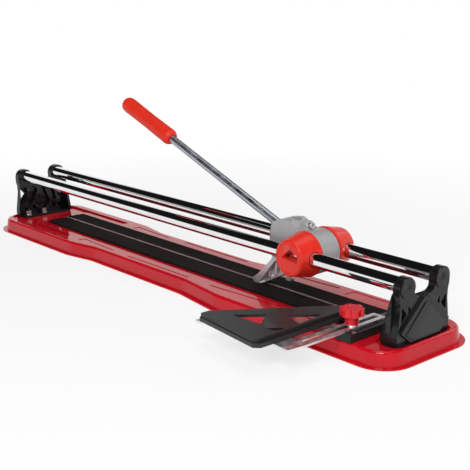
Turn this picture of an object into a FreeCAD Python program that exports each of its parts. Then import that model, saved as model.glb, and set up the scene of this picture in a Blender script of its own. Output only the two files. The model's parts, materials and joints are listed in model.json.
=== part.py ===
import FreeCAD, Part
import math
import os
import Sketcher

# Manual tile cutter: a pressed base pan, two end supports, two round guide rails and a
# carriage with a lever, a breaking foot and a scoring wheel, with a fence and a sliding
# lateral stop.  Frame: +X along the rails towards the fence, +Y across, +Z up.  Origin on
# the bench, under the middle of the breaking rib.

os.makedirs("parts", exist_ok=True)
doc = FreeCAD.newDocument("TileCutter")
Vector = FreeCAD.Vector

# ---------------------------------------------------------------- driving dimensions
DIMS = [
    # base pan
    ("pan_height", 19.0), ("sheet_thick", 1.5), ("half_length", 427.0),
    ("half_wide", 82.0), ("half_waist", 72.0), ("corner_radius", 40.0),
    ("flange_width", 6.0), ("wall_draft", 8.0), ("pocket_depth", 3.0),
    ("edge_radius", 4.0), ("inner_edge_radius", 2.5),
    # breaking rib and tile pads
    ("rib_width", 3.0), ("rib_top", 23.5), ("rib_length", 676.0),
    ("pad_top", 22.4), ("pad_width", 30.0), ("pad_start", -334.0), ("pad_end", 347.5),
    ("channel_width", 26.0), ("channel_length", 640.0), ("channel_sheet", 2.0),
    # rails and end supports
    ("rail_height", 85.0), ("rail_offset", 29.6), ("rail_diameter", 18.0),
    ("rail_length", 822.0), ("lobe_radius", 12.8), ("support_inner", 403.5),
    ("support_depth", 9.5), ("foot_half_width", 46.0), ("foot_seat", 16.0),
    ("shield_raise", 3.5), ("lobe_ring", 1.4), ("bolt_diameter", 6.0),
    # fence
    ("fence_left", 348.0), ("fence_width", 24.0), ("fence_length", 151.6),
    ("fence_height", 10.0), ("stud_x", 354.0), ("stud_y", -54.0), ("stud_diameter", 6.0),
    # carriage
    ("barrel_x", 246.5), ("barrel_radius", 27.5), ("barrel_front", 17.6),
    ("barrel_rear", 12.6),
    ("hub_rim", 28.5), ("hub_face", 22.0), ("hub_front_seat", 18.0), ("hub_rear_seat", 13.0),
    ("hub_length", 32.0),
    ("spigot_radius", 13.95), ("spigot_length", 7.0), ("bearing_radius", 14.0),
    ("bush_outer", 22.0), ("bush_bore", 18.1), ("bush_length", 10.0),
    ("tie_diameter", 8.0), ("tie_length", 24.0),
    # lever
    ("lever_angle", 20.7), ("lever_drop", 3.0), ("tube_diameter", 11.0),
    ("tube_start", 50.0), ("tube_end", 412.0), ("grip_start", 304.0),
    ("grip_end", 421.0), ("grip_diameter", 23.0),
    # scoring wheel
    ("wheel_diameter", 12.0), ("wheel_thick", 2.2), ("wheel_x", -46.0),
    ("wheel_z", -45.0), ("pin_diameter", 3.0),
    # lateral stop
    ("arm_floor", 29.1), ("arm_sheet", 2.5), ("slot_width", 6.6),
    ("square_floor", 31.6), ("square_height", 9.4), ("square_skin", 3.0), ("square_step", 4.4),
    # clamp knob
    ("knob_head_radius", 14.0), ("knob_stem_radius", 8.0), ("washer_radius", 8.5),
    ("washer_thick", 1.5), ("knob_stem_top", 43.0), ("knob_top", 52.0),
]
sheet = doc.addObject("Spreadsheet::Sheet", "Dimensions")
for row, (alias, value) in enumerate(DIMS, start=1):
    sheet.set("A%d" % row, alias)
    sheet.set("B%d" % row, str(value))
    sheet.setAlias("B%d" % row, alias)
doc.recompute()
D = dict(DIMS)
AXIS_X = Vector(1, 0, 0)
AXIS_Y = Vector(0, 1, 0)
AXIS_Z = Vector(0, 0, 1)
RAIL_Z = D["rail_height"]
RAIL_Y = D["rail_offset"]
BARREL_X = D["barrel_x"]
FOOT_SCREW_X = BARREL_X - 57.0
HOLDER_TOP = -24.0
BUSH_STARTS = (-19.0, 9.0)
parts = []


# ---------------------------------------------------------------- modelling helpers
def place(position=(0, 0, 0), axis=AXIS_Z, angle=0.0):
    return FreeCAD.Placement(Vector(*position), FreeCAD.Rotation(axis, angle))


def keep(obj, label):
    """Name a finished sub-part; its label is also its file name."""
    obj.Label = label
    parts.append(obj)
    return obj


def new_body(name):
    return doc.addObject("PartDesign::Body", name)


def origin_plane(body, role):
    for feature in body.Origin.OriginFeatures:
        if feature.Role == role:
            return feature


def rounded_edges(points):
    """Closed outline as lines and tangent arcs; each point is (u, v, corner radius)."""
    count = len(points)
    ends = []
    arcs = []
    for i, (u, v, radius) in enumerate(points):
        here = Vector(u, v, 0)
        before = (Vector(points[i - 1][0], points[i - 1][1], 0) - here).normalize()
        after_point = points[(i + 1) % count]
        after = (Vector(after_point[0], after_point[1], 0) - here).normalize()
        if radius <= 0:
            ends.append((here, here))
            arcs.append(None)
            continue
        half = before.getAngle(after) / 2.0
        reach = radius / math.tan(half)
        start = here + before * reach
        finish = here + after * reach
        centre = here + (before + after).normalize() * (radius / math.sin(half))
        middle = centre + (here - centre).normalize() * radius
        ends.append((start, finish))
        arcs.append(Part.Arc(start, middle, finish))
    edges = []
    for i in range(count):
        if arcs[i]:
            edges.append(arcs[i])
        start = ends[i][1]
        finish = ends[(i + 1) % count][0]
        if start.distanceToPoint(finish) > 1e-6:
            edges.append(Part.LineSegment(start, finish))
    return edges


def sketch_on(body, name, role, offset, loops=(), circles=()):
    """Sketch on one of the body's own origin planes; circles are (u, v, alias or mm)."""
    sketch = body.newObject("Sketcher::SketchObject", name)
    sketch.AttachmentSupport = [(origin_plane(body, role), "")]
    sketch.MapMode = "FlatFace"
    sketch.AttachmentOffset = place((0, 0, offset))
    for loop in loops:
        for edge in rounded_edges(loop):
            index = sketch.addGeometry(edge, False)
            sketch.addConstraint(Sketcher.Constraint("Block", index))
    for u, v, radius in circles:
        bound = isinstance(radius, str)
        value = D[radius] if bound else radius
        centre = Vector(u, v, 0)
        index = sketch.addGeometry(Part.Circle(centre, AXIS_Z, value), False)
        sketch.addConstraint(Sketcher.Constraint("Coincident", index, 3, -1, 1)
                             if centre.Length < 1e-9 else
                             Sketcher.Constraint("Block", index))
        if bound and centre.Length < 1e-9:
            number = sketch.addConstraint(Sketcher.Constraint("Radius", index, value))
            sketch.setExpression("Constraints[%d]" % number, "Dimensions." + radius)
    doc.recompute()
    return sketch


def set_length(feature, prop, size):
    """Bind a length to a sheet expression, or set it in mm."""
    if isinstance(size, str):
        feature.setExpression(prop, size)
    else:
        setattr(feature, prop, size)


def pad(body, name, sketch, length, taper=0.0, back=False):
    feature = body.newObject("PartDesign::Pad", name)
    feature.Profile = sketch
    set_length(feature, "Length", length)
    feature.TaperAngle = taper
    feature.Reversed = back
    sketch.Visibility = False
    doc.recompute()
    return feature


def pocket(body, name, sketch, length, taper=0.0, back=False):
    before = body.Shape.Volume
    feature = body.newObject("PartDesign::Pocket", name)
    feature.Profile = sketch
    set_length(feature, "Length", length)
    feature.TaperAngle = taper
    feature.Reversed = back
    doc.recompute()
    if body.Shape.Volume > before - 1e-3:
        raise RuntimeError("pocket cuts nothing: " + name)
    return feature


def revolve(body, name, sketch):
    """Turn a profile about the body's own Z axis."""
    feature = body.newObject("PartDesign::Revolution", name)
    feature.Profile = sketch
    for origin_axis in body.Origin.OriginFeatures:
        if origin_axis.Role == "Z_Axis":
            feature.ReferenceAxis = (origin_axis, [""])
    feature.Angle = 360.0
    doc.recompute()
    return feature


def turned(name, profile):
    """Body of revolution about its local Z from an (r, z, corner radius) outline."""
    body = new_body(name)
    revolve(body, name + "Turn", sketch_on(body, name + "Profile", "XZ_Plane", 0, [profile]))
    return body


def cylinder(name, radius, height, placement=None):
    solid = doc.addObject("Part::Cylinder", name)
    set_length(solid, "Radius", radius)
    set_length(solid, "Height", height)
    if placement:
        solid.Placement = placement
    return solid


def box(name, length, width, height, corner):
    solid = doc.addObject("Part::Box", name)
    set_length(solid, "Length", length)
    set_length(solid, "Width", width)
    set_length(solid, "Height", height)
    solid.Placement = place(corner)
    return solid


def prism(name, loops, plane, start, length):
    """Body with one pad: outline on an origin plane, from start, length along its normal."""
    body = new_body(name)
    pad(body, name + "Pad", sketch_on(body, name + "Sketch", plane, start, loops), length)
    return body


def cut(name, base, tool):
    result = doc.addObject("Part::Cut", name)
    result.Base = base
    result.Tool = tool
    doc.recompute()
    return result


def fuse(name, shapes):
    result = doc.addObject("Part::MultiFuse", name)
    result.Shapes = shapes
    doc.recompute()
    return result


def group(name, shapes):
    """Identical fasteners kept as separate solids of one sub-part."""
    result = doc.addObject("Part::Compound", name)
    result.Links = shapes
    doc.recompute()
    return result


def outline(inset):
    """Waisted outline of the base pan, moved in by inset."""
    end = D["half_length"] - inset
    wide = D["half_wide"] - inset
    waist = D["half_waist"] - inset
    corner = D["corner_radius"] - inset
    side = [(-end, -wide, corner), (-202, -wide, 60), (-150, -waist, 60),
            (62, -waist, 80), (140, -wide - 1.5, 80), (end + 4, -wide - 1.5, corner)]
    return side + [(u, -v, r) for u, v, r in reversed(side)]


# ---------------------------------------------------------------- base pan
def build_base_pan():
    """One pressed sheet: flange, drafted wall, deck, sunk ends and long embossed darts."""
    body = new_body("BasePan")
    skin = D["sheet_thick"]
    foot = sketch_on(body, "FlangeOutline", "XY_Plane", 0, [outline(0)])
    pad(body, "Flange", foot, "Dimensions.sheet_thick")
    wall = sketch_on(body, "WallOutline", "XY_Plane", 0, [outline(D["flange_width"])])
    pad(body, "Wall", wall, "Dimensions.pan_height", taper=-D["wall_draft"])
    round_edges(body, "DeckEdge", D["pan_height"], "edge_radius")
    hollow = sketch_on(body, "HollowOutline", "XY_Plane", 0,
                       [outline(D["flange_width"] + skin)])
    pocket(body, "Hollow", hollow, "Dimensions.pan_height - Dimensions.sheet_thick",
           taper=-D["wall_draft"], back=True)
    round_edges(body, "HollowEdge", D["pan_height"] - skin, "inner_edge_radius")
    sunk = sunk_loops(0)
    trays = sketch_on(body, "SunkTrayOutline", "XY_Plane",
                      D["pan_height"] - D["pocket_depth"] - skin, sunk_loops(skin))
    pad(body, "SunkTrays", trays, "Dimensions.pocket_depth + Dimensions.sheet_thick / 2")
    floors = sketch_on(body, "SunkOutline", "XY_Plane", D["pan_height"], sunk)
    pocket(body, "SunkFloors", floors, "Dimensions.pocket_depth")
    darts = sketch_on(body, "DartOutline", "XY_Plane", D["pan_height"], dart_loops())
    pocket(body, "Darts", darts, 0.7)
    holes = sketch_on(body, "BoltHoles", "XY_Plane", D["pan_height"], [],
                      [(u, v, D["bolt_diameter"] / 2) for u, v in SUPPORT_BOLTS])
    pocket(body, "SupportBoltHoles", holes, "Dimensions.pan_height")
    return keep(body, "base_pan")


def round_edges(body, name, height, alias):
    """Round the outline edges of the pan that lie flat at one height."""
    edges = ["Edge%d" % (i + 1) for i, edge in enumerate(body.Shape.Edges)
             if abs(edge.BoundBox.ZMin - height) < 1e-4 and edge.BoundBox.ZLength < 1e-4]
    feature = body.newObject("PartDesign::Fillet", name)
    feature.Base = (body.Tip if body.Tip != feature else feature.BaseFeature, edges)
    feature.setExpression("Radius", "Dimensions." + alias)
    doc.recompute()
    return feature


def sunk_loops(grow):
    """Sunk floors under the supports; the left one has arms beside the tile pads."""
    g = grow
    left = [(-416 - g, -60 - g, 20), (-232 + g, -60 - g, 4), (-240 + g, -50 + g, 3),
            (-344 + g, -50 + g, 3), (-344 + g, 50 - g, 3), (-240 + g, 50 - g, 3),
            (-232 + g, 60 + g, 4), (-416 - g, 60 + g, 20)]
    right = [(382 - g, -54 - g, 12), (419 + g, -54 - g, 16), (419 + g, 54 + g, 16),
             (382 - g, 54 + g, 12)]
    return [left, right]


def dart_loops():
    """Long shallow darts pressed beside the pads, the same on both sides."""
    near = [[(-205, -58, 1), (-100, -52, 1), (-205, -46, 1)],
            [(-80, -56, 1), (60, -56, 1), (60, -52, 1), (-80, -52, 1)],
            [(230, -64, 1), (230, -44, 1), (92, -54, 1)],
            [(250, -66, 1), (318, -66, 1), (318, -48, 1), (250, -48, 1)]]
    far = [[(u, -v, r) for u, v, r in reversed(loop)] for loop in near]
    return near + far


TIE_REACH = {-1: 14.0, 1: 10.0}
SUPPORT_BOLTS = [(side * 394.5, side * v) for side in (-1, 1) for v in (4.0, 34.0)]


def build_bench_parts():
    """Rib on its folded channel, and the two rubber tile pads on the deck."""
    deck = D["pan_height"]
    half = D["channel_width"] / 2
    sheet_mm = D["channel_sheet"]
    underside = deck - D["sheet_thick"]
    channel = [(-half, 0, 2), (half, 0, 2), (half, underside, 0),
               (half - sheet_mm, underside, 0), (half - sheet_mm, sheet_mm, 1),
               (-half + sheet_mm, sheet_mm, 1), (-half + sheet_mm, underside, 0),
               (-half, underside, 0)]
    body = prism("CentreChannel", [channel], "YZ_Plane", -D["channel_length"] / 2,
                 "Dimensions.channel_length")
    keep(body, "centre_channel")

    web = D["rib_width"] / 2
    rib = [(-web, deck, 0), (web, deck, 0), (web, D["rib_top"], 1.0),
           (-web, D["rib_top"], 1.0)]
    body = prism("BreakingRib", [rib], "YZ_Plane", D["pad_start"] + 2,
                 "Dimensions.rib_length")
    keep(body, "breaking_rib")

    inner = 4.0
    outer = inner + D["pad_width"]
    for side, label in ((-1, "front_pad"), (1, "rear_pad")):
        loop = [(D["pad_start"], side * inner, 0), (D["pad_end"], side * inner, 0),
                (D["pad_end"], side * outer, 0), (D["pad_start"] + 3, side * outer, 2)]
        body = prism(label.title().replace("_", ""), [loop], "XY_Plane", deck,
                     "Dimensions.pad_top - Dimensions.pan_height")
        keep(body, label)


# ---------------------------------------------------------------- end supports and rails
def support_half():
    """Half outline of an end support, from the foot up to the notch, in (y, z)."""
    foot = D["foot_half_width"]
    seat = D["foot_seat"]
    lobe = D["lobe_radius"]
    top = RAIL_Z + lobe - 1.5
    outer = RAIL_Y + lobe + 2
    inner = RAIL_Y - lobe + 1.5
    return [(foot, seat, 1.5), (foot, seat + 12, 20), (outer - 2.5, 58, 30),
            (outer - 2, 68, 10), (outer, 76, 8), (outer, top, lobe - 0.5),
            (inner, top, lobe - 0.5), (inner, 70, 9)]


def build_end_support(label, side):
    """Cast end support: two rail lobes on a hollow, ribbed body with an outer shield."""
    name = label.title().replace("_", "")
    body = new_body(name)
    half = support_half()
    loop = half + [(-u, v, r) for u, v, r in reversed(half)]
    inner = D["support_inner"]
    wall = sketch_on(body, name + "Outline", "YZ_Plane", inner, [loop])
    pad(body, name + "Casting", wall, "Dimensions.support_depth")
    rim = 4.0
    cells = [
        [(-5, 24, 2), (5, 24, 2), (14, 36, 2), (4, 62, 2), (-4, 62, 2), (-14, 36, 2)],
        [(-24, 24, 2), (-9, 24, 2), (-17, 34, 2), (-25, 31, 2)],
        [(-41, 24, 2), (-28, 24, 2), (-30, 30, 2), (-41, 32, 2)],
        [(-27, 36, 2), (-18, 39, 2), (-9, 60, 2), (-20, 68, 2)],
        [(-42, 40, 1), (-31, 42, 2), (-28.5, 53, 2), (-30, 66, 2), (-42, 66, 1)],
    ]
    mirrored = [[(-u, v, r) for u, v, r in reversed(cell)] for cell in cells[1:]]
    hollow = sketch_on(body, name + "Cells", "YZ_Plane", inner, cells + mirrored)
    pocket(body, name + "Hollow", hollow, D["support_depth"] - rim, back=True)
    shield = [(-26, seat_top(), 2), (26, seat_top(), 2), (44, 34, 2), (3.5, 70, 2),
              (-3.5, 70, 2), (-44, 34, 2)]
    plate = sketch_on(body, name + "Shield", "YZ_Plane", inner + D["support_depth"],
                      [shield])
    pad(body, name + "ShieldPlate", plate, "Dimensions.shield_raise", taper=-12.0)
    step = [(-22, 22.5, 2), (22, 22.5, 2), (36, 30, 2), (2, 63, 2), (-2, 63, 2),
            (-36, 30, 2)]
    face = sketch_on(body, name + "ShieldStep", "YZ_Plane",
                     inner + D["support_depth"] + D["shield_raise"], [step])
    pad(body, name + "ShieldFace", face, 1.2, taper=-20.0)
    windows = [[(-39.5, 43, 1.2), (-30.5, 53.5, 1.2), (-39.5, 64, 1.2)],
               [(-28, 51, 1.0), (-23.5, 57.5, 1.0), (-28, 64, 1.0)]]
    windows += [[(-u, v, r) for u, v, r in reversed(loop)] for loop in windows]
    cuts = sketch_on(body, name + "Windows", "YZ_Plane", inner, windows)
    pocket(body, name + "SideWindows", cuts, "Dimensions.support_depth", back=True)
    for number, centre in enumerate((-RAIL_Y - 1, RAIL_Y + 1)):
        ring = sketch_on(body, "%sLobe%d" % (name, number), "YZ_Plane",
                         inner + D["support_depth"], [], [(centre, RAIL_Z - 1.5, 12.4)])
        pad(body, "%sLobeRing%d" % (name, number), ring, "Dimensions.lobe_ring", taper=-15.0)
    web = [(391, 16, 1), (inner, 16, 0), (inner, 78, 0), (388, 24, 3)]
    gusset = sketch_on(body, name + "Gusset", "XZ_Plane", D["foot_half_width"] - 4, [web])
    pad(body, name + "GussetWeb", gusset, 4.0)
    foot = [(388, -43, 6), (inner, -43, 0), (inner, 42, 0), (388, 42, 6)]
    tab = sketch_on(body, name + "FootTab", "XY_Plane", D["foot_seat"], [foot])
    pad(body, name + "Foot", tab, 4.0)
    bores = sketch_on(body, name + "RailBores", "YZ_Plane", inner, [],
                      [(-RAIL_Y, RAIL_Z, D["rail_diameter"] / 2),
                       (RAIL_Y, RAIL_Z, D["rail_diameter"] / 2)])
    pocket(body, name + "RailSockets", bores, 7.5, back=True)
    screws = sketch_on(body, name + "ScrewHoles", "YZ_Plane", inner, [],
                       [(-RAIL_Y, RAIL_Z, 3.0), (RAIL_Y, RAIL_Z, 3.0)])
    pocket(body, name + "RailScrewHoles", screws,
           "Dimensions.support_depth + Dimensions.lobe_ring", back=True)
    seats = sketch_on(body, name + "ScrewSeats", "YZ_Plane", inner + D["support_depth"], [],
                      [(-RAIL_Y, RAIL_Z, 4.7), (RAIL_Y, RAIL_Z, 4.7)])
    pocket(body, name + "RailScrewSeats", seats, "Dimensions.lobe_ring", back=True)
    bolts = sketch_on(body, name + "BoltHoles", "XY_Plane", D["foot_seat"] + 4, [],
                      [(u, v, D["bolt_diameter"] / 2) for u, v in SUPPORT_BOLTS if u > 0])
    pocket(body, name + "FootBoltHoles", bolts, 4.0)
    if side < 0:
        body.Placement = place(axis=AXIS_Z, angle=180)
    return keep(body, label)


def seat_top():
    """Lower edge of the shield, just above the rim of the sunk floor."""
    return D["foot_seat"] + 3.5


def build_rails():
    """Chromed guide rails, drilled at both ends for the screws that hold them."""
    for y, label in ((-RAIL_Y, "guide_rail_front"), (RAIL_Y, "guide_rail_rear")):
        body = new_body(label.title().replace("_", ""))
        half = D["rail_length"] / 2
        ring = sketch_on(body, label + "_section", "YZ_Plane", -half, [],
                         [(0, 0, D["rail_diameter"] / 2)])
        pad(body, label + "_bar", ring, "Dimensions.rail_length")
        for number, (start, back) in enumerate(((half, False), (-half, True))):
            hole = sketch_on(body, "%s_hole%d" % (label, number), "YZ_Plane", start, [],
                             [(0, 0, 3.0)])
            pocket(body, "%s_tapping%d" % (label, number), hole, 12.0, back=back)
        body.Placement = place((0, y, RAIL_Z))
        keep(body, label)


def build_fasteners():
    """Screws at the rail ends, and bolts with nuts at the feet of the supports."""
    screws = []
    length = D["support_inner"] + D["support_depth"]
    for side in (-1, 1):
        for y in (-RAIL_Y, RAIL_Y):
            turn = place((side * length, y, RAIL_Z), AXIS_Y, 90 * side)
            shank = cylinder("RailShank", 3.0, 13.5)
            shank.Placement = turn.multiply(place((0, 0, -13.5)))
            head = cylinder("RailScrewHead", 4.6, 1.3)
            head.Placement = turn
            key = doc.addObject("Part::Prism", "RailScrewKey")
            key.Polygon = 6
            key.Circumradius = 2.4
            key.Height = 1.2
            key.Placement = turn.multiply(place((0, 0, 0.5)))
            solid = fuse("RailScrewBlank", [shank, head])
            screws.append(cut("RailScrew", solid, key))
    keep(group("RailScrews", screws), "rail_screws")

    bolts = []
    nuts = []
    for u, v in SUPPORT_BOLTS:
        shank = cylinder("BoltShank", "Dimensions.bolt_diameter / 2", 12.0,
                         place((u, v, 8)))
        washer = cylinder("BoltWasher", 5.2, 1.0, place((u, v, 20)))
        head = doc.addObject("Part::Prism", "BoltHead")
        head.Polygon = 6
        head.Circumradius = 4.6
        head.Height = 6.5
        head.Placement = place((u, v, 21))
        bolts.append(fuse("SupportBolt", [shank, washer, head]))
        blank = doc.addObject("Part::Prism", "NutBlank")
        blank.Polygon = 6
        blank.Circumradius = 5.6
        blank.Height = 5.0
        blank.Placement = place((u, v, 9.5))
        thread = cylinder("NutThread", "Dimensions.bolt_diameter / 2", 5.0,
                          place((u, v, 9.5)))
        nuts.append(cut("SupportNut", blank, thread))
    keep(group("SupportBolts", bolts), "support_bolts")
    keep(group("SupportNuts", nuts), "support_nuts")


# ---------------------------------------------------------------- fence
def build_fence():
    """Square bar across the deck, with a scale let into it and the clamp stud."""
    deck = D["pan_height"]
    left = D["fence_left"]
    right = left + D["fence_width"]
    reach = D["fence_length"] / 2
    body = new_body("FenceBar")
    plan = [(left, -reach, 0), (right, -reach, 0), (right, reach, 0), (left, reach, 0)]
    bar = sketch_on(body, "BarOutline", "XY_Plane", deck, [plan])
    pad(body, "Bar", bar, "Dimensions.fence_height")
    scale = [(left + 3, 8, 1), (right - 3, 8, 1), (right - 3, 69, 1), (left + 3, 69, 1)]
    top = deck + D["fence_height"]
    seat = sketch_on(body, "ScaleSeat", "XY_Plane", top, [scale])
    pocket(body, "ScaleRecess", seat, 0.8)
    holes = sketch_on(body, "BarHoles", "XY_Plane", top, [],
                      [(D["stud_x"], D["stud_y"], D["stud_diameter"] / 2),
                       (FENCE_SCREW_X, -66, 2.5), (FENCE_SCREW_X, 72.6, 2.5)])
    pocket(body, "BarDrilling", holes, "Dimensions.fence_height")
    for number, v in enumerate((-66, 72.6)):
        sink = sketch_on(body, "ScrewSink%d" % number, "XY_Plane", top, [],
                         [(FENCE_SCREW_X, v, 3.1)])
        pocket(body, "ScrewSeat%d" % number, sink, 2.0)
    keep(body, "fence_bar")

    body = prism("FenceScale", [scale], "XY_Plane", top - 0.8, 0.8)
    keep(body, "fence_scale")

    screws = []
    for v in (-66, 72.6):
        head = cylinder("FenceScrewHead", 3.1, 2.0, place((FENCE_SCREW_X, v, top - 2)))
        shank = cylinder("FenceScrewShank", 2.5, 8.0, place((FENCE_SCREW_X, v, deck)))
        solid = fuse("FenceScrewBlank", [head, shank])
        key = doc.addObject("Part::Prism", "FenceScrewKey")
        key.Polygon = 6
        key.Circumradius = 1.7
        key.Height = 1.5
        key.Placement = place((FENCE_SCREW_X, v, top - 1.2))
        screws.append(cut("FenceScrew", solid, key))
    keep(group("FenceScrews", screws), "fence_screws")

    stud = cylinder("ClampStud", "Dimensions.stud_diameter / 2", 29.0,
                    place((D["stud_x"], D["stud_y"], deck)))
    keep(stud, "clamp_stud")


FENCE_SCREW_X = 368.0


# ---------------------------------------------------------------- carriage
def build_hub(label, side):
    """Tapered bearing hub: bored along the rail, with an arrow window in its face."""
    name = label.title().replace("_", "")
    inner = D["hub_front_seat"] if side < 0 else D["hub_rear_seat"]
    depth = D["hub_length"]
    spigot = -D["spigot_length"]
    rim = D["hub_rim"]
    face = D["hub_face"]
    body = new_body(name)
    profile = [(0, spigot, 0), (D["spigot_radius"], spigot, 0.8),
               (D["spigot_radius"], 0, 0), (rim, 0, 0.8), (rim, 3.5, 1.5),
               (face + 0.6, depth - 1.5, 2.5), (face - 2, depth, 1.5), (face - 3.5, depth, 0),
               (face - 4.5, depth - 0.8, 0), (0, depth - 0.8, 0)]
    turn = sketch_on(body, name + "Profile", "XZ_Plane", 0, [profile])
    revolve(body, name + "Turn", turn)
    rail = RAIL_Y - inner
    passage = D["rail_diameter"] / 2 + 0.7
    bore = sketch_on(body, name + "Bore", "YZ_Plane", -40, [], [(0, rail, passage)])
    pocket(body, name + "RailBore", bore, 80.0, back=True)
    for number, start in enumerate(BUSH_STARTS):
        groove = sketch_on(body, "%sGroove%d" % (name, number), "YZ_Plane", start, [],
                           [(0, rail, D["bush_outer"] / 2)])
        pocket(body, "%sBushSeat%d" % (name, number), groove, "Dimensions.bush_length",
               back=True)
    socket = sketch_on(body, name + "Socket", "XY_Plane", spigot, [],
                       [(0, 0, D["tie_diameter"] / 2)])
    pocket(body, name + "TieSocket", socket, TIE_REACH[side] - inner - spigot, back=True)
    arrow = [(-11, 0.5, 0.8), (2.5, 12.5, 0.8), (9, 7, 0.8), (14.5, 5, 0.8),
             (14.5, -3.5, 0.8), (-11, -1.5, 0.8)]
    window = sketch_on(body, name + "Window", "XY_Plane", depth,
                       [[(u, -side * v, r) for u, v, r in arrow]])
    pocket(body, name + "ArrowWindow", window, depth - rail)
    body.Placement = place((BARREL_X, side * inner, RAIL_Z), AXIS_X, -90 * side)
    return keep(body, label)


def build_carriage():
    """Hubs on both rails, their plain bushes, and the tie rod between the spigots."""
    build_hub("front_hub", -1)
    build_hub("rear_hub", 1)
    bushes = []
    length = D["bush_length"]
    for y in (-RAIL_Y, RAIL_Y):
        for start in BUSH_STARTS:
            at = place((BARREL_X + start, y, RAIL_Z), AXIS_Y, 90)
            shell = cylinder("BushShell", "Dimensions.bush_outer / 2",
                             "Dimensions.bush_length", at)
            bore = cylinder("BushBore", "Dimensions.bush_bore / 2",
                            "Dimensions.bush_length", at)
            bushes.append(cut("RailBush", shell, bore))
    keep(group("RailBushes", bushes), "rail_bushes")
    rod = cylinder("TieRod", "Dimensions.tie_diameter / 2", "Dimensions.tie_length",
                   place((BARREL_X, TIE_REACH[1], RAIL_Z), AXIS_X, 90))
    keep(rod, "tie_rod")


# ---------------------------------------------------------------- lever
def lever_frame(along):
    """Placement on the lever's axis, its Z running out towards the grip."""
    angle = D["lever_angle"]
    turn = FreeCAD.Rotation(AXIS_Y, angle - 90)
    start = Vector(BARREL_X, 0, RAIL_Z - D["lever_drop"])
    return FreeCAD.Placement(start + turn.multVec(Vector(0, 0, along)), turn)


def build_lever_head():
    """Cast head: a barrel turning on the hub spigots, with a domed lever socket."""
    front = D["barrel_front"]
    rear = D["barrel_rear"]
    body = new_body("BarrelBody")
    ring = sketch_on(body, "BarrelRing", "XZ_Plane", -rear, [], [(0, 0, "barrel_radius")])
    pad(body, "Barrel", ring, "Dimensions.barrel_rear + Dimensions.barrel_front")
    body.Placement = place((BARREL_X, 0, RAIL_Z))
    side_view = [(-67, -18, 6), (-75, 3, 18), (-66, 27, 14), (-50, 34, 16),
                 (-30, 38, 5), (-22, 29, 4), (0, 25, 3), (0, -18, 2)]
    plan = [(-77, -14, 13), (0, -17, 0), (0, 12, 0), (-77, 12, 12)]
    end_view = [(-17.5, -30, 0), (12.4, -30, 0), (12.4, 38.6, 9), (-17.5, 38.6, 10)]
    blocks = [prism("DomeSide", [side_view], "XZ_Plane", -20, 40),
              prism("DomePlan", [plan], "XY_Plane", -40, 90),
              prism("DomeEnd", [end_view], "YZ_Plane", -90, 100)]
    for block in blocks:
        block.Placement = place((BARREL_X, 0, RAIL_Z))
    dome = doc.addObject("Part::MultiCommon", "LeverDome")
    dome.Shapes = blocks
    lug = cylinder("ClampLug", 6.0, 13.0,
                   place((BARREL_X - 15, 5.0, RAIL_Z + 29.5), AXIS_X, 90))
    blank = fuse("LeverHeadBlank", [body, dome, lug])
    bore = cylinder("SocketBore", "Dimensions.tube_diameter / 2", 60.0,
                    lever_frame(D["tube_start"]))
    thread = cylinder("ClampThread", 2.5, 16.0, clamp_frame(-12))
    spot_face = cylinder("ClampSpotFace", 4.6, 12.0, clamp_frame(2))
    mount_hole = cylinder("FootThread", 2.5, 9.0, place((FOOT_SCREW_X, 0, RAIL_Z - 18)))
    seats = [cylinder("FrontSeat", "Dimensions.bearing_radius", 7.6,
                      place((BARREL_X, -front + 7.6, RAIL_Z), AXIS_X, 90)),
             cylinder("RearSeat", "Dimensions.bearing_radius", 7.6,
                      place((BARREL_X, rear, RAIL_Z), AXIS_X, 90))]
    clearance = cylinder("TieClearance", 5.0, 40.0,
                         place((BARREL_X, 20, RAIL_Z), AXIS_X, 90))
    recess = box("CrownRecess", 20, 11, 10, (BARREL_X - 48, -9, RAIL_Z + 31.5))
    tools = fuse("LeverHeadTools",
                 [bore, thread, spot_face, mount_hole, clearance, recess] + seats)
    keep(cut("LeverHeadCut", blank, tools), "lever_head")

    shank = cylinder("ClampShank", 2.5, 14.0, clamp_frame(-12))
    head = cylinder("ClampHead", 4.4, 4.5, clamp_frame(2))
    key = doc.addObject("Part::Prism", "ClampKey")
    key.Polygon = 6
    key.Circumradius = 2.3
    key.Height = 3.0
    key.Placement = clamp_frame(3.8)
    keep(cut("HeadScrew", fuse("HeadScrewBlank", [shank, head]), key), "head_screw")


def clamp_frame(along):
    """Axis of the screw that clamps the lever tube, pointing back from the lug."""
    turn = FreeCAD.Rotation(AXIS_Y, 78)
    start = Vector(BARREL_X - 12, -1.5, RAIL_Z + 30.5)
    return FreeCAD.Placement(start + turn.multVec(Vector(0, 0, along)), turn)


def build_lever_handle():
    """Chromed tube and moulded grip."""
    length = D["tube_end"] - D["tube_start"]
    tube = new_body("LeverTube")
    section = sketch_on(tube, "TubeSection", "XY_Plane", 0, [],
                        [(0, 0, D["tube_diameter"] / 2), (0, 0, D["tube_diameter"] / 2 - 2)])
    pad(tube, "TubeWall", section, "Dimensions.tube_end - Dimensions.tube_start")
    tube.Placement = lever_frame(D["tube_start"])
    keep(tube, "lever_tube")

    radius = D["grip_diameter"] / 2
    span = D["grip_end"] - D["grip_start"]
    hole = D["tube_diameter"] / 2
    depth = length + D["tube_start"] - D["grip_start"]
    profile = [(hole, 0, 0.6), (8.5, 0, 3), (radius, 6, 5), (radius - 0.6, span / 2, 0),
               (radius, span - 14, 8), (radius - 0.8, span, 9), (0, span, 0),
               (0, depth, 0), (hole, depth, 0)]
    grip = turned("LeverGrip", profile)
    grip.Placement = lever_frame(D["grip_start"])
    keep(grip, "lever_grip")


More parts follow.
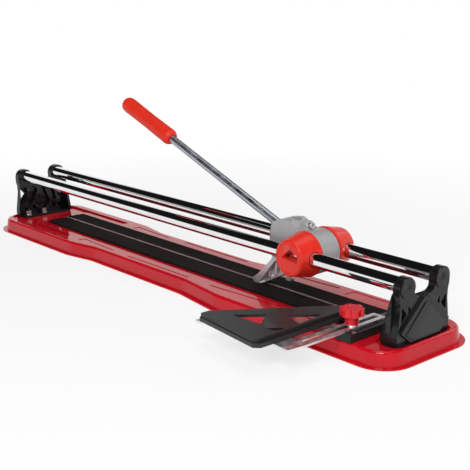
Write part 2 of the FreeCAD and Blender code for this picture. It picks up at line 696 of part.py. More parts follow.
def build_breaker():
    """Ribbed breaking foot under the head, resting just above the breaking rib."""
    body = new_body("BreakerFoot")
    stop = 23.8 - RAIL_Z
    flange = [(-67, -18, 1), (-58, -18, 0), (-58, -22, 1), (-63, -25, 6),
              (-90, stop + 4, 1), (-88, stop, 1), (-102, stop, 2.5), (-105, stop + 5, 3),
              (-94, -48, 20), (-70, -24, 8)]
    face = sketch_on(body, "FootFlange", "XZ_Plane", -11.5, [flange])
    pad(body, "Flange", face, 23.0)
    top = [(-66, -18, 0), (-40, -18, 0), (-40, -22, 1), (-66, -22, 0)]
    mount = sketch_on(body, "FootMount", "XZ_Plane", -10, [top])
    pad(body, "Mount", mount, 20.0)
    web = [(-66, -20, 0), (-43, -20, 0), (-43, -34, 3), (-90, stop + 0.8, 0),
           (-96, stop + 3, 0)]
    core = sketch_on(body, "FootWeb", "XZ_Plane", -2.2, [web])
    pad(body, "Web", core, 4.4)
    strip = [(-43, -31, 0), (-40, -35, 1.2), (-89, stop + 0.2, 1), (-89, stop + 3.4, 0)]
    lower = sketch_on(body, "LowerFlange", "XZ_Plane", -6, [strip])
    pad(body, "Lower", lower, 12.0)
    for number, (u, high, low) in enumerate(((-78, -38, -51), (-66, -22, -45),
                                             (-51, -21, -38))):
        rib = [(u, high, 0), (u + 3, high, 0), (u + 3, low + 2, 0), (u, low, 0)]
        stiff = sketch_on(body, "Stiffener%d" % number, "XZ_Plane", -8, [rib])
        pad(body, "StiffRib%d" % number, stiff, 16.0)
    body.Placement = place((BARREL_X, 0, RAIL_Z))
    hole = cylinder("FootScrewHole", 2.5, 34.0, place((FOOT_SCREW_X, 0, RAIL_Z - 52)))
    sink = cylinder("FootScrewSink", 4.6, 20.0, place((FOOT_SCREW_X, 0, RAIL_Z - 42)))
    socket = box("HolderSocket", 8, 9, 28,
                 (BARREL_X + D["wheel_x"] - 4, -4.5, RAIL_Z + HOLDER_TOP - 28))
    tools = fuse("FootTools", [hole, sink, socket])
    keep(cut("BreakerFootCut", body, tools), "breaker_foot")

    shank = cylinder("FootShank", 2.5, 13.0, place((FOOT_SCREW_X, 0, RAIL_Z - 22)))
    head = cylinder("FootHead", 4.2, 4.0, place((FOOT_SCREW_X, 0, RAIL_Z - 26)))
    keep(fuse("FootScrew", [shank, head]), "foot_screw")


def build_wheel():
    """Forked holder, its pin and the scoring wheel."""
    u = BARREL_X + D["wheel_x"]
    z = RAIL_Z + D["wheel_z"]
    body = new_body("WheelHolder")
    plan = [(-4, -4.5, 1.5), (4, -4.5, 1.5), (4, 4.5, 1.5), (-4, 4.5, 1.5)]
    stem = sketch_on(body, "HolderSection", "XY_Plane", -3, [plan])
    pad(body, "HolderStem", stem, 3.0 - D["wheel_z"] + HOLDER_TOP)
    slot = [(-6, -1.4, 0), (6, -1.4, 0), (6, 1.4, 0), (-6, 1.4, 0)]
    gap = sketch_on(body, "HolderSlot", "XY_Plane", -3, [slot])
    pocket(body, "WheelSlot", gap, 10.5, back=True)
    eye = sketch_on(body, "PinHole", "XZ_Plane", -6, [], [(0, 0, 1.5)])
    pocket(body, "PinBore", eye, 12.0, back=True)
    body.Placement = place((u, 0, z))
    keep(body, "wheel_holder")
    pin = cylinder("WheelPin", "Dimensions.pin_diameter / 2", 10.0,
                   place((u, 5.0, z), AXIS_X, 90))
    keep(pin, "wheel_pin")
    radius = D["wheel_diameter"] / 2
    half = D["wheel_thick"] / 2
    bore = D["pin_diameter"] / 2 + 0.04
    profile = [(bore, -half, 0), (radius - 1.6, -half, 0), (radius, 0, 0.15),
               (radius - 1.6, half, 0), (bore, half, 0)]
    wheel = turned("ScoringWheel", profile)
    wheel.Placement = place((u, 0, z), AXIS_X, 90)
    keep(wheel, "scoring_wheel")


# ---------------------------------------------------------------- lateral stop
SQUARE_PLAN = [(228, -160.4, 2), (228, -173.5, 2), (331.5, -185.5, 2), (338, -179, 2),
               (338, -47.8, 2), (321.5, -29.6, 2)]
SQUARE_TOP = [(229, -160, 1.5), (229, -172.3, 1.5), (329.5, -184, 1.5), (333.5, -178.5, 1.5),
              (333.5, -48.5, 1.5), (321, -31.5, 1.5)]
SQUARE_WINDOWS = [[(257, -150, 1.5), (303, -146, 1.5), (283, -121, 1.5)],
                  [(301, -104, 1.5), (330, -114, 1.5), (326, -72, 1.5)],
                  [(315, -152, 1.2), (330, -150, 1.2), (329, -133, 1.2)]]


def inset(points, distance):
    """Plan outline moved in by distance, from its sharp corners."""
    wire = Part.makePolygon([Vector(u, v, 0) for u, v, r in points + points[:1]])
    inner = wire.makeOffset2D(-distance, 2, False, False)
    if inner.BoundBox.XLength > wire.BoundBox.XLength:
        inner = wire.makeOffset2D(distance, 2, False, False)
    ordered = Part.__sortEdges__(inner.Edges)
    corners = [edge.firstVertex(True).Point for edge in ordered]
    return [(corner.x, corner.y, 0.8) for corner in corners]


def build_stop():
    """Slotted arm of bent sheet, and the set square that it carries."""
    body = new_body("StopArm")
    left = D["stud_x"] - 9.5
    right = D["stud_x"] + 9.5
    plan = [(right, -5, 1.5), (right, -140, 2), (right - 2, -163, 3), (322, -159, 4),
            (222, -176, 3), (224, -152, 3), (300, -140, 10), (left - 3, -136, 12),
            (left, -120, 10), (left, -5, 1.5)]
    blank = sketch_on(body, "ArmOutline", "XY_Plane", D["arm_floor"], [plan])
    pad(body, "Arm", blank, "Dimensions.arm_sheet")
    half = D["slot_width"] / 2 - 0.01
    u = D["stud_x"]
    slot = [(u - half, -133, half - 0.01), (u + half, -133, half - 0.01),
            (u + half, -9.5, half - 0.01), (u - half, -9.5, half - 0.01)]
    window = sketch_on(body, "ArmSlot", "XY_Plane", D["arm_floor"] + D["arm_sheet"],
                       [slot])
    pocket(body, "Slot", window, "Dimensions.arm_sheet")
    holes = sketch_on(body, "ArmHoles", "XY_Plane", D["arm_floor"] + D["arm_sheet"], [],
                      [(x, y, 2.0) for x, y in SQUARE_SCREWS])
    pocket(body, "ArmDrilling", holes, "Dimensions.arm_sheet")
    keep(body, "stop_arm")

    body = new_body("SetSquare")
    floor = D["square_floor"]
    skirt = sketch_on(body, "SquareOutline", "XY_Plane", floor, [SQUARE_PLAN])
    pad(body, "SquareSkirt", skirt, "Dimensions.square_height - Dimensions.square_step")
    plate = sketch_on(body, "PlateOutline", "XY_Plane", floor, [SQUARE_TOP])
    pad(body, "SquarePlate", plate, "Dimensions.square_height")
    under = sketch_on(body, "SquareUnderside", "XY_Plane", floor, [inset(SQUARE_TOP, 2.2)])
    pocket(body, "SquareHollow", under,
           "Dimensions.square_height - Dimensions.square_skin", back=True)
    bosses = sketch_on(body, "SquareBosses", "XY_Plane", floor, [],
                       [(x, y, 4.5) for x, y in SQUARE_SCREWS])
    pad(body, "ScrewBosses", bosses, D["square_height"] - 1.0)
    lights = sketch_on(body, "SquareWindows", "XY_Plane", floor + D["square_height"],
                       SQUARE_WINDOWS)
    pocket(body, "Windows", lights, D["square_skin"] + 0.5)
    thread = sketch_on(body, "SquareThreads", "XY_Plane", floor, [],
                       [(x, y, 2.0) for x, y in SQUARE_SCREWS])
    pocket(body, "Threads", thread, 5.0, back=True)
    keep(body, "set_square")

    screws = []
    for x, y in SQUARE_SCREWS:
        shank = cylinder("SquareShank", 2.0, 7.5, place((x, y, D["arm_floor"])))
        head = cylinder("SquareHead", 3.6, 1.8, place((x, y, D["arm_floor"] - 1.8)))
        screws.append(fuse("SquareScrew", [shank, head]))
    keep(group("SquareScrews", screws), "square_screws")


SQUARE_SCREWS = [(243.0, -163.0), (325.0, -160.0)]


def build_knob():
    """Lobed clamp knob with its washer, on the stud in the fence bar."""
    at = (D["stud_x"], D["stud_y"], 0)
    base = D["square_floor"] + D["washer_thick"] + 0.1
    body = new_body("ClampKnob")
    stem = sketch_on(body, "StemSection", "XY_Plane", base, [], [(0, 0, "knob_stem_radius")])
    pad(body, "Stem", stem, D["knob_stem_top"] - base)
    head = sketch_on(body, "HeadSection", "XY_Plane", D["knob_stem_top"], [],
                     [(0, 0, "knob_head_radius")])
    pad(body, "Head", head, "Dimensions.knob_top - Dimensions.knob_stem_top")
    scallop = sketch_on(body, "ScallopSection", "XY_Plane", D["knob_top"], [],
                        [(D["knob_head_radius"] + 2.6, 0, 4.6)])
    first = pocket(body, "Scallop", scallop, "Dimensions.knob_top - Dimensions.knob_stem_top")
    ring = body.newObject("PartDesign::PolarPattern", "Scallops")
    ring.Originals = [first]
    for origin_axis in body.Origin.OriginFeatures:
        if origin_axis.Role == "Z_Axis":
            ring.Axis = (origin_axis, [""])
    ring.Angle = 360.0
    ring.Occurrences = 6
    body.Tip = ring
    doc.recompute()
    bore = sketch_on(body, "StudBore", "XY_Plane", base, [],
                     [(0, 0, D["stud_diameter"] / 2 + 0.05)])
    pocket(body, "StudHole", bore, 16.8, back=True)
    body.Placement = place(at)
    keep(body, "clamp_knob")

    ring_at = (D["stud_x"], D["stud_y"], D["square_floor"] + 0.1)
    disc = cylinder("WasherDisc", "Dimensions.washer_radius", "Dimensions.washer_thick",
                    place(ring_at))
    hole = cylinder("WasherHole", D["stud_diameter"] / 2 + 0.05,
                    "Dimensions.washer_thick", place(ring_at))
    keep(cut("KnobWasher", disc, hole), "knob_washer")


# ---------------------------------------------------------------- build, check, write
build_base_pan()
build_bench_parts()
build_end_support("end_support_left", -1)
build_end_support("end_support_right", 1)
build_rails()
build_fasteners()
build_fence()
build_carriage()
build_lever_head()
build_lever_handle()
build_breaker()
build_wheel()
build_stop()
build_knob()
doc.recompute()

for obj in doc.Objects:
    if "Invalid" in obj.State or "Error" in obj.State:
        raise RuntimeError("failed object: %s %s" % (obj.Label, obj.State))
for obj in parts:
    if obj.Shape.isNull() or not obj.Shape.isValid():
        raise RuntimeError("bad shape: " + obj.Label)
for obj in parts:
    obj.Shape.exportStep(os.path.join("parts", obj.Label + ".step"))
    size = obj.Shape.BoundBox
    print("%-18s solids %d  volume %9.0f  x %.1f..%.1f  y %.1f..%.1f  z %.1f..%.1f" % (
        obj.Label, len(obj.Shape.Solids), obj.Shape.Volume, size.XMin, size.XMax,
        size.YMin, size.YMax, size.ZMin, size.ZMax))
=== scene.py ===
import json
import math

import bmesh
import bpy
from mathutils import Matrix, Vector


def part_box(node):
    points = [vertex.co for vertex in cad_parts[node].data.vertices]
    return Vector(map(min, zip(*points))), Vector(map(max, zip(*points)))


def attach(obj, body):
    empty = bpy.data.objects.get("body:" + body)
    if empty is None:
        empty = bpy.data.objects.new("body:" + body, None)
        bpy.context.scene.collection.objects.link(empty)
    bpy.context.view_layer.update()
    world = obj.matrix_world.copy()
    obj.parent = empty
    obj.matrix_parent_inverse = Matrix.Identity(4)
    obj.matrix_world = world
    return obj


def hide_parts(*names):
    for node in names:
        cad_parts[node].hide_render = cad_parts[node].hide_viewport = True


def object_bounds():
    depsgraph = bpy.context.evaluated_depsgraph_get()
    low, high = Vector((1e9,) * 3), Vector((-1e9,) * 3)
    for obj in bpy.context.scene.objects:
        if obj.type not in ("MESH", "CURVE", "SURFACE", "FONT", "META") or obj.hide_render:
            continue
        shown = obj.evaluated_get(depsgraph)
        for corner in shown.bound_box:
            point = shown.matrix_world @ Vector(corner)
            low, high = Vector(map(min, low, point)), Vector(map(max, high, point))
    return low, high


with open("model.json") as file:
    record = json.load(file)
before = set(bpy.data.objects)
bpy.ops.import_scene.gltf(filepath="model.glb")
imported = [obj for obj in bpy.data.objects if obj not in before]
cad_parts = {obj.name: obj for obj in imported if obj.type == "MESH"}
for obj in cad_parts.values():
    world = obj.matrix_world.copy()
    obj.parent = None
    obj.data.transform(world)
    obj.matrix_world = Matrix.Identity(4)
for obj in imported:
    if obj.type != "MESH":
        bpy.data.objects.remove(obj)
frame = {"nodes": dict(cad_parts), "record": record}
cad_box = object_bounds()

# Manual tile cutter.  Each CAD node of the frame is replaced by a piece made from its mesh, or
# for the rails and the lever tube from its length and radius, with softer edges and a procedural
# finish.  The marks on the fence scale are the only piece without a node.
# Metres, +X along the rails towards the fence, +Y across to the back, +Z up.

MM = 0.001
LEVER_ANGLE = math.radians(20.7)
PAPER_WHITE = (1.0, 1.0, 1.0)
RAIL_AXIS = Vector((1, 0, 0))
LEVER_AXIS = Vector((-math.cos(LEVER_ANGLE), 0, math.sin(LEVER_ANGLE)))
scene = bpy.context.scene
BODY_OF = {node: body for body, nodes in frame["record"]["behaviour"]["bodies"].items()
           for node in nodes}
SLOT_OF = {row["node"]: row["material_slot"] for row in frame["record"]["subparts"]}


# ---------------------------------------------------------------- shader building blocks
class Finish:
    """A Principled material with helpers for the textures that drive it."""

    def __init__(self, name, color, roughness, metallic=0.0, coat=0.0, specular=0.5):
        self.material = bpy.data.materials.new(name)
        self.material.use_nodes = True
        self.tree = self.material.node_tree
        self.shader = self.tree.nodes["Principled BSDF"]
        self.color = (*color, 1.0)
        self.shader.inputs["Base Color"].default_value = self.color
        self.shader.inputs["Roughness"].default_value = roughness
        self.shader.inputs["Metallic"].default_value = metallic
        self.shader.inputs["Coat Weight"].default_value = coat
        self.shader.inputs["Coat Roughness"].default_value = 0.06
        self.shader.inputs["Specular IOR Level"].default_value = specular
        self.position = self.tree.nodes.new("ShaderNodeTexCoord").outputs["Object"]
        self.height = None

    def node(self, kind, **values):
        """New shader node with the given settings."""
        made = self.tree.nodes.new(kind)
        for key, value in values.items():
            setattr(made, key, value)
        return made

    def link(self, source, target):
        self.tree.links.new(source, target)

    def stretched(self, stretch):
        """Object position scaled by axis, for grain that runs one way."""
        mapping = self.node("ShaderNodeMapping")
        mapping.inputs["Scale"].default_value = stretch
        self.link(self.position, mapping.inputs["Vector"])
        return mapping.outputs["Vector"]

    def noise(self, size, detail=3.0, stretch=(1, 1, 1), rough=0.55):
        """Noise whose features are about size metres across."""
        texture = self.node("ShaderNodeTexNoise")
        texture.inputs["Scale"].default_value = 1.0 / size
        texture.inputs["Detail"].default_value = detail
        texture.inputs["Roughness"].default_value = rough
        self.link(self.stretched(stretch), texture.inputs["Vector"])
        return texture.outputs["Fac"]

    def cells(self, size):
        """Small irregular cells, as in the pores of rubber."""
        texture = self.node("ShaderNodeTexVoronoi")
        texture.inputs["Scale"].default_value = 1.0 / size
        self.link(self.position, texture.inputs["Vector"])
        return texture

    def ramp(self, value, low, high, out_low=0.0, out_high=1.0):
        """Map value from low..high to out_low..out_high, clamped."""
        reach = self.node("ShaderNodeMapRange")
        reach.inputs["From Min"].default_value = low
        reach.inputs["From Max"].default_value = high
        reach.inputs["To Min"].default_value = out_low
        reach.inputs["To Max"].default_value = out_high
        self.link(value, reach.inputs["Value"])
        return reach.outputs["Result"]

    def edges(self, low=0.53, high=0.62):
        """Where the surface is convex: handled edges and rims."""
        geometry = self.node("ShaderNodeNewGeometry")
        return self.ramp(geometry.outputs["Pointiness"], low, high)

    def tint(self, factor, color):
        """Mix another colour into the base colour by factor."""
        mix = self.node("ShaderNodeMix", data_type="RGBA")
        base = self.shader.inputs["Base Color"]
        if base.is_linked:
            self.link(base.links[0].from_socket, mix.inputs["A"])
        else:
            mix.inputs["A"].default_value = self.color
        mix.inputs["B"].default_value = (*color, 1.0)
        self.link(factor, mix.inputs["Factor"])
        self.link(mix.outputs["Result"], base)

    def vary_roughness(self, factor, low, high):
        """Let the roughness follow factor, from low to high."""
        self.link(self.ramp(factor, 0.3, 0.7, low, high), self.shader.inputs["Roughness"])

    def bump(self, value, distance, strength=1.0):
        """Add a layer of relief; distance is its depth in metres."""
        bump = self.node("ShaderNodeBump")
        bump.inputs["Distance"].default_value = distance
        bump.inputs["Strength"].default_value = strength
        self.link(value, bump.inputs["Height"])
        if self.height is not None:
            self.link(self.height, bump.inputs["Normal"])
        self.height = bump.outputs["Normal"]
        self.link(self.height, self.shader.inputs["Normal"])


def enamel(name, color, dark):
    """Glossy stove enamel on pressed steel: orange peel, soft clouding, faint scuffs."""
    scuff_color = (0.7, 0.2, 0.2)
    finish = Finish(name, color, 0.42, coat=1.0, specular=0.03)
    finish.shader.inputs["Coat Roughness"].default_value = 0.05
    finish.shader.inputs["Coat IOR"].default_value = 1.33
    finish.tint(finish.ramp(finish.noise(0.09, 2), 0.35, 0.75, 0.0, 0.35), dark)
    scuffs = finish.noise(0.012, 6, (0.15, 1, 1), 0.7)
    finish.tint(finish.ramp(scuffs, 0.68, 0.82, 0.0, 0.08), scuff_color)
    finish.vary_roughness(scuffs, 0.36, 0.5)
    finish.bump(finish.noise(0.0026, 1), 0.000002)
    finish.bump(finish.noise(0.05, 1), 0.00006, 0.4)
    return finish.material


def casting(name, color, rough, metallic, rubbed_edge_and_highlight, specular=0.5, coat=0.0):
    """Painted or bare die casting with a fine sand skin; edges lighter from rubbing and a
    painted highlight.
    """
    finish = Finish(name, color, rough, metallic=metallic, coat=coat, specular=specular)
    finish.tint(finish.ramp(finish.noise(0.02, 4), 0.35, 0.7, 0.0, 0.3),
                tuple(0.7 * c for c in color))
    # Convex edges lightened: partly rubbed paint, partly a painted highlight along the bevels.
    finish.tint(finish.edges(), rubbed_edge_and_highlight)
    finish.vary_roughness(finish.noise(0.006, 4), rough - 0.06, rough + 0.1)
    finish.bump(finish.noise(0.0008, 4, rough=0.7), 0.00004, 0.6)
    finish.bump(finish.noise(0.008, 2), 0.00008, 0.3)
    return finish.material


def plated(name, color, rough, stretch, lines=0.5, size=0.0006):
    """Plated or ground steel; stretch draws its fine polishing marks out along an axis."""
    finish = Finish(name, color, rough, metallic=1.0)
    grain = finish.noise(size, 3, stretch)
    finish.tint(finish.ramp(finish.noise(0.015, 3), 0.4, 0.75, 0.0, 0.35),
                tuple(0.72 * c for c in color))
    finish.vary_roughness(grain, rough * 0.75, rough * 1.5)
    finish.bump(grain, 0.000006, lines)
    return finish.material


def moulded(name, color, rough, grain=0.0006, depth=0.00002, coat=0.0, specular=0.35):
    """Moulded plastic: faint cloudiness, fine spark grain and slightly worn edges."""
    finish = Finish(name, color, rough, coat=coat, specular=specular)
    finish.tint(finish.ramp(finish.noise(0.02, 3), 0.35, 0.75, 0.0, 0.3),
                tuple(0.74 * c for c in color))
    finish.tint(finish.ramp(finish.edges(0.52, 0.66), 0, 1, 0, 0.3),
                tuple(min(1.0, 0.75 * c + 0.12) for c in color))
    finish.vary_roughness(finish.noise(0.003, 4), rough - 0.05, rough + 0.08)
    finish.bump(finish.noise(grain, 2, rough=0.6), depth)
    finish.shader.inputs["Subsurface Weight"].default_value = 0.04
    finish.shader.inputs["Subsurface Radius"].default_value = (0.002, 0.001, 0.0005)
    return finish.material


def rubber(name, color):
    """Matt rubber with pores and a dusting of tile powder."""
    tile_powder = (0.12, 0.10, 0.10)
    worn_patch = (0.035, 0.03, 0.03)
    finish = Finish(name, color, 0.8, specular=0.04)
    finish.tint(finish.ramp(finish.noise(0.004, 5), 0.55, 0.85, 0.0, 0.12), tile_powder)
    finish.tint(finish.ramp(finish.noise(0.05, 3), 0.45, 0.75, 0.0, 0.2), worn_patch)
    finish.vary_roughness(finish.noise(0.002, 3), 0.7, 0.92)
    finish.bump(finish.cells(0.0009).outputs["Distance"], 0.00005, 0.8)
    return finish.material


def floor_finish():
    """Pale studio paper: faint shadows near the cutter, even white from a metre out."""
    paper = (0.93, 0.93, 0.93)
    paper_cloud = (0.9, 0.9, 0.9)
    fade_start = 0.3
    fade_end = 1.0
    near_glow = 0.72
    finish = Finish("studio_floor", paper, 0.85, specular=0.1)
    finish.tint(finish.ramp(finish.noise(0.4, 2), 0.3, 0.7, 0.0, 0.3), paper_cloud)
    finish.bump(finish.noise(0.002, 3), 0.00002, 0.3)
    distance = finish.node("ShaderNodeVectorMath", operation="LENGTH")
    finish.link(finish.position, distance.inputs[0])
    glow = finish.node("ShaderNodeEmission")
    glow.inputs["Color"].default_value = (*PAPER_WHITE, 1.0)
    blend = finish.node("ShaderNodeMixShader")
    glow_share = finish.ramp(distance.outputs["Value"], fade_start, fade_end, near_glow, 1.0)
    finish.link(glow_share, blend.inputs["Fac"])
    finish.link(finish.shader.outputs["BSDF"], blend.inputs[1])
    finish.link(glow.outputs["Emission"], blend.inputs[2])
    output = finish.tree.nodes["Material Output"]
    finish.link(blend.outputs["Shader"], output.inputs["Surface"])
    return finish.material


FINISHES = {
    "pan_red": enamel("pan_enamel", (0.56, 0.004, 0.013), (0.40, 0.002, 0.008)),
    "zinc": plated("zinc_sheet", (0.6, 0.6, 0.61), 0.34, (0.1, 1, 1)),
    # Pinkish tone: the rib's red paint mixed with a painted highlight along its ridge.
    "rib_steel": plated("rib_steel", (0.50, 0.32, 0.34), 0.32, (0.05, 1, 1), 0.2),
    "pad_rubber": rubber("pad_rubber", (0.014, 0.010, 0.010)),
    "support_black": casting("support_paint", (0.006, 0.006, 0.007), 0.36, 0.0,
                             (0.02, 0.02, 0.022), 0.05, 0.55),
    "rail_chrome": plated("rail_chrome", (0.86, 0.86, 0.88), 0.03, (0.02, 1, 1), 0.01),
    # Darker, bluer tone than the rail chrome: a painted reflection of dark surroundings on the
    # chrome tube.
    "tube_chrome": plated("tube_chrome", (0.47, 0.50, 0.55), 0.32, (1, 1, 1), 0.02, 0.02),
    "bolt_steel": plated("bolt_steel", (0.62, 0.61, 0.6), 0.26, (1, 1, 1)),
    "fence_black": casting("fence_paint", (0.006, 0.007, 0.007), 0.34, 0.0,
                           (0.03, 0.033, 0.033), 0.1, 0.2),
    "scale_grey": plated("scale_metal", (0.5, 0.5, 0.51), 0.38, (1, 0.05, 1)),
    "hub_red": moulded("hub_plastic", (0.74, 0.026, 0.014), 0.36, coat=0.12, specular=0.25),
    "bush_black": moulded("bush_plastic", (0.02, 0.02, 0.022), 0.45),
    "foot_zinc": casting("foot_casting", (0.56, 0.54, 0.55), 0.3, 0.7, (0.8, 0.8, 0.8)),
    "casting_grey": casting("head_casting", (0.41, 0.405, 0.41), 0.42, 0.3,
                            (0.55, 0.55, 0.55)),
    "grip_red": moulded("grip_plastic", (0.72, 0.028, 0.012), 0.42, 0.0016, 0.000012,
                        specular=0.2),
    "wheel_steel": plated("wheel_steel", (0.55, 0.55, 0.56), 0.22, (1, 1, 1)),
    "arm_zinc": plated("arm_zinc", (0.86, 0.83, 0.85), 0.34, (1, 1, 1), 0.04, 0.01),
    "square_black": moulded("square_plastic", (0.016, 0.015, 0.015), 0.36, specular=0.35),
    "knob_red": moulded("knob_plastic", (0.66, 0.006, 0.014), 0.28, coat=0.25,
                        specular=0.25),
}
MARK_INK = moulded("scale_ink", (0.015, 0.015, 0.016), 0.55)


# ---------------------------------------------------------------- mesh building blocks
def from_bmesh(name, mesh_data):
    """New object made from a bmesh, which is used up."""
    mesh = bpy.data.meshes.new(name)
    mesh_data.to_mesh(mesh)
    mesh_data.free()
    obj = bpy.data.objects.new(name, mesh)
    scene.collection.objects.link(obj)
    return obj


def copied(node):
    """Welded copy of a CAD node's mesh, with its flat faces joined again."""
    weld_distance = 1e-6
    flat_angle = math.radians(0.6)
    mesh_data = bmesh.new()
    mesh_data.from_mesh(frame["nodes"][node].data)
    bmesh.ops.remove_doubles(mesh_data, verts=mesh_data.verts, dist=weld_distance)
    bmesh.ops.dissolve_limit(mesh_data, angle_limit=flat_angle, verts=mesh_data.verts,
                             edges=mesh_data.edges, delimit={"NORMAL"})
    return mesh_data


def modified(obj):
    """Apply an object's modifiers to its mesh."""
    graph = bpy.context.evaluated_depsgraph_get()
    applied = bpy.data.meshes.new_from_object(
        obj.evaluated_get(graph), preserve_all_data_layers=True, depsgraph=graph)
    obj.modifiers.clear()
    obj.data = applied


def stand_for(obj, node, finish=None):
    """Finish a piece that replaces a CAD node, and let it ride on the node's body."""
    obj.data.materials.clear()
    obj.data.materials.append(finish or FINISHES[SLOT_OF[node]])
    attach(obj, BODY_OF[node])
    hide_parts(node)


def smooth_shaded(mesh, angle):
    """Smooth shading that breaks at edges sharper than angle."""
    for face in mesh.polygons:
        face.use_smooth = True
    mesh.set_sharp_from_angle(angle=math.radians(angle))


def softened(node, radius, segments=2, angle=32.0):
    """A CAD node with rounded edges and even shading on its flats, standing for the node."""
    obj = from_bmesh("vis_" + node, copied(node))
    bevel = obj.modifiers.new("edges", "BEVEL")
    bevel.width = radius * MM
    bevel.segments = segments
    bevel.limit_method = "ANGLE"
    bevel.angle_limit = math.radians(angle)
    bevel.miter_outer = "MITER_ARC"
    bevel.use_clamp_overlap = True
    modified(obj)
    smooth_shaded(obj.data, 40)
    weighted = obj.modifiers.new("normals", "WEIGHTED_NORMAL")
    weighted.keep_sharp = True
    weighted.weight = 90
    modified(obj)
    stand_for(obj, node, NODE_FINISH.get(node))


def cast(node, voxel, rounds):
    """A CAD node remeshed and relaxed, so that its edges flow like a casting's."""
    obj = from_bmesh("vis_" + node, copied(node))
    remesh = obj.modifiers.new("skin", "REMESH")
    remesh.mode = "VOXEL"
    remesh.voxel_size = voxel * MM
    relax = obj.modifiers.new("relax", "SMOOTH")
    relax.factor = 0.5
    relax.iterations = rounds
    modified(obj)
    smooth_shaded(obj.data, 60)
    stand_for(obj, node, NODE_FINISH.get(node))


def axis_span(node, direction):
    """Ends and radius of a straight round node whose axis runs along direction."""
    end_slice = 0.05 * MM
    points = [vertex.co for vertex in frame["nodes"][node].data.vertices]
    along = [point.dot(direction) for point in points]
    ends = []
    for limit in (min(along), max(along)):
        ring = [p for p, t in zip(points, along) if abs(t - limit) < end_slice]
        ends.append(sum(ring, Vector()) / len(ring))
    radius = max(((p - ends[0]) - direction * (p - ends[0]).dot(direction)).length
                 for p in points)
    return ends[0], ends[1], radius


def lathed(name, start, direction, profile, segments=96):
    """Surface of revolution; profile is (distance along, radius) from end to end."""
    turn = direction.to_track_quat("Z", "Y")
    rings = bmesh.new()
    loops = []
    for along, radius in profile:
        loop = []
        for step in range(segments):
            angle = 2 * math.pi * step / segments
            spoke = Vector((radius * math.cos(angle), radius * math.sin(angle), along))
            loop.append(rings.verts.new(start + turn @ spoke))
        loops.append(loop)
    for low, high in zip(loops, loops[1:]):
        for step in range(segments):
            after = (step + 1) % segments
            rings.faces.new((low[step], low[after], high[after], high[step]))
    rings.faces.new(reversed(loops[0]))
    rings.faces.new(loops[-1])
    return from_bmesh(name, rings)


def smooth_bar(node, direction, finish):
    """Round bar with chamfered ends and an even mirror surface, standing for the node."""
    start, end, radius = axis_span(node, direction)
    length = (end - start).length
    edge = 0.4 * MM
    parts = 24
    profile = [(0, radius - edge), (edge, radius)]
    profile += [(edge + (length - 2 * edge) * step / parts, radius) for step in range(1, parts)]
    profile += [(length - edge, radius), (length, radius - edge)]
    bar = lathed("vis_" + node, start, direction, profile)
    smooth_shaded(bar.data, 35)
    stand_for(bar, node, finish)


# ---------------------------------------------------------------- pieces from the CAD nodes
NODE_FINISH = {"breaker_foot": FINISHES["foot_zinc"]}

# Radius of the rounded edges of each node, in millimetres.
EDGE_RADIUS = {
    "base_pan": 0.5, "centre_channel": 0.3, "breaking_rib": 0.3, "front_pad": 0.5,
    "rear_pad": 0.5, "end_support_left": 0.8, "end_support_right": 0.8, "rail_screws": 0.3,
    "support_bolts": 0.35, "support_nuts": 0.3, "fence_bar": 0.5, "fence_scale": 0.1,
    "fence_screws": 0.2, "clamp_stud": 0.4, "front_hub": 0.7, "rear_hub": 0.7,
    "rail_bushes": 0.3, "tie_rod": 0.3, "head_screw": 0.3, "lever_grip": 0.4, "foot_screw": 0.3,
    "wheel_holder": 0.4, "wheel_pin": 0.2, "scoring_wheel": 0.1, "stop_arm": 0.4,
    "set_square": 0.5, "square_screws": 0.2, "clamp_knob": 0.8, "knob_washer": 0.2,
}
for node_name, edge_radius in EDGE_RADIUS.items():
    softened(node_name, edge_radius)

cast("lever_head", 0.65, 8)
cast("breaker_foot", 0.5, 5)

smooth_bar("guide_rail_front", RAIL_AXIS, FINISHES["rail_chrome"])
smooth_bar("guide_rail_rear", RAIL_AXIS, FINISHES["rail_chrome"])
smooth_bar("lever_tube", LEVER_AXIS, FINISHES["tube_chrome"])


def scale_marks():
    """Printed divisions on the fence scale, a long one every ten millimetres."""
    spacing = 2.5 * MM
    first_mark = 3 * MM
    margin = 1 * MM
    sunk = 0.1 * MM
    raised = 0.06 * MM
    low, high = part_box("fence_scale")
    marks = bmesh.new()
    count = int((high.y - low.y) / spacing) - 1
    for number in range(count):
        y = low.y + first_mark + spacing * number
        long_mark = number % 4 == 0
        reach = (11 if long_mark else 6) * MM
        half = (0.45 if long_mark else 0.3) * MM
        start = low.x + margin
        end = start + reach
        corners = [(start, y - half), (end, y - half), (end, y + half), (start, y + half)]
        lower = [marks.verts.new((u, v, high.z - sunk)) for u, v in corners]
        upper = [marks.verts.new((u, v, high.z + raised)) for u, v in corners]
        marks.faces.new(upper)
        marks.faces.new(reversed(lower))
        for step in range(4):
            after = (step + 1) % 4
            marks.faces.new((lower[step], lower[after], upper[after], upper[step]))
    piece = from_bmesh("scale_marks", marks)
    piece.data.materials.append(MARK_INK)
    smooth_shaded(piece.data, 35)
    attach(piece, BODY_OF["fence_scale"])


scale_marks()


# ---------------------------------------------------------------- studio
def build_floor():
    """Flat pale sheet just under the cutter, reaching far past the picture."""
    reach = 30.0
    gap = 0.0004
    level = cad_box[0].z - gap
    outline = ((-reach, -reach), (reach, -reach), (reach, reach), (-reach, reach))
    sheet = bmesh.new()
    sheet.faces.new([sheet.verts.new((x, y, level)) for x, y in outline])
    floor = from_bmesh("studio_floor", sheet)
    floor.data.materials.append(floor_finish())


def area_light(name, place, aim, size, power):
    """White rectangular soft box at place, turned towards aim; power in watts."""
    light = bpy.data.lights.new(name, "AREA")
    light.shape = "RECTANGLE"
    light.size, light.size_y = size
    light.energy = power
    lamp = bpy.data.objects.new(name, light)
    lamp.location = place
    lamp.rotation_euler = (Vector(aim) - Vector(place)).to_track_quat("-Z", "Y").to_euler()
    scene.collection.objects.link(lamp)


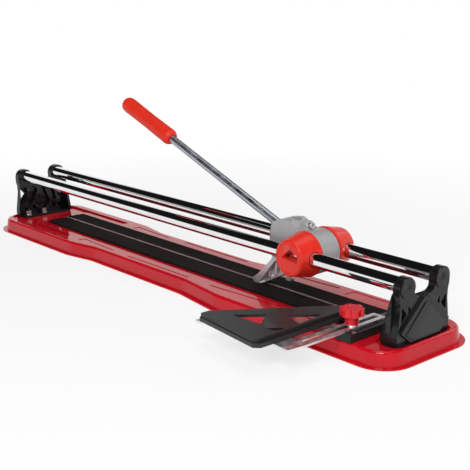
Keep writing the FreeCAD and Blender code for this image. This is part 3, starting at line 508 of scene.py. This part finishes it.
def build_lights():
    """Soft boxes and a small glint."""
    area_light("overhead", (0.3, 0.1, 2.2), (0.1, 0, 0), (2.0, 1.4), 18)
    area_light("key", (1.3, -1.7, 1.7), (0.1, 0, 0.05), (1.0, 0.9), 43)
    area_light("rim", (0.5, 2.2, 1.5), (0, 0, 0.1), (1.8, 0.7), 9)
    area_light("glint", (1.5, -0.4, 0.95), (0.4, 0, 0.05), (0.22, 0.22), 1.6)


def build_world():
    """Room that is pale low down and dark above.

    The pale part reaches higher far to the left at the back, and less high in front.
    """
    pale_up_to = 0.27
    dark_from = 0.42
    dark_tone = 0.008
    panel_rise = 0.34
    front_drop = 0.22
    world = bpy.data.worlds.new("studio_world")
    scene.world = world
    world.use_nodes = True
    tree = world.node_tree
    split = tree.nodes.new("ShaderNodeSeparateXYZ")
    tree.links.new(tree.nodes.new("ShaderNodeTexCoord").outputs["Generated"],
                   split.inputs["Vector"])
    leftward = smooth_step(tree, split.outputs["X"], -0.92, -0.66, panel_rise, 0.0)
    behind = smooth_step(tree, split.outputs["Y"], 0.02, 0.14, 0.0, 1.0)
    in_front = smooth_step(tree, split.outputs["Y"], -0.5, 0.0, front_drop, 0.0)
    panel = combined(tree, "MULTIPLY", leftward, behind)
    height = combined(tree, "ADD", split.outputs["Z"], in_front)
    height = combined(tree, "SUBTRACT", height, panel)
    tone = smooth_step(tree, height, pale_up_to, dark_from, 1.0, dark_tone)
    tree.links.new(tone, tree.nodes["Background"].inputs["Color"])


def combined(tree, operation, first, second):
    """Math node that joins two values."""
    node = tree.nodes.new("ShaderNodeMath")
    node.operation = operation
    tree.links.new(first, node.inputs[0])
    tree.links.new(second, node.inputs[1])
    return node.outputs["Value"]


def smooth_step(tree, value, low, high, out_low, out_high):
    """Soft change from out_low to out_high as value goes from low to high."""
    reach = tree.nodes.new("ShaderNodeMapRange")
    reach.interpolation_type = "SMOOTHSTEP"
    reach.inputs["From Min"].default_value = low
    reach.inputs["From Max"].default_value = high
    reach.inputs["To Min"].default_value = out_low
    reach.inputs["To Max"].default_value = out_high
    tree.links.new(value, reach.inputs["Value"])
    return reach.outputs["Result"]


def build_camera():
    """Camera to the right in front of the cutter, a little above it."""
    place = Vector((1.05563, -0.85003, 0.42051))
    azimuth = math.radians(48.51)
    elevation = math.radians(15.06)
    roll = math.radians(-0.29)
    forward = Vector((-math.sin(azimuth) * math.cos(elevation),
                      math.cos(azimuth) * math.cos(elevation), -math.sin(elevation)))
    level = Vector((math.cos(azimuth), math.sin(azimuth), 0))
    upward = level.cross(forward)
    right = level * math.cos(roll) + upward * math.sin(roll)
    top = upward * math.cos(roll) - level * math.sin(roll)
    lens = bpy.data.cameras.new("camera")
    lens.sensor_width = 36.0
    lens.lens = 75.68
    lens.clip_end = 50
    camera = bpy.data.objects.new("camera", lens)
    turn = Matrix((right, top, -forward)).transposed()
    camera.matrix_world = Matrix.Translation(place) @ turn.to_4x4()
    scene.collection.objects.link(camera)
    scene.camera = camera


build_floor()
build_lights()
build_world()
build_camera()
scene.view_settings.view_transform = "Standard"
scene.view_settings.look = "None"
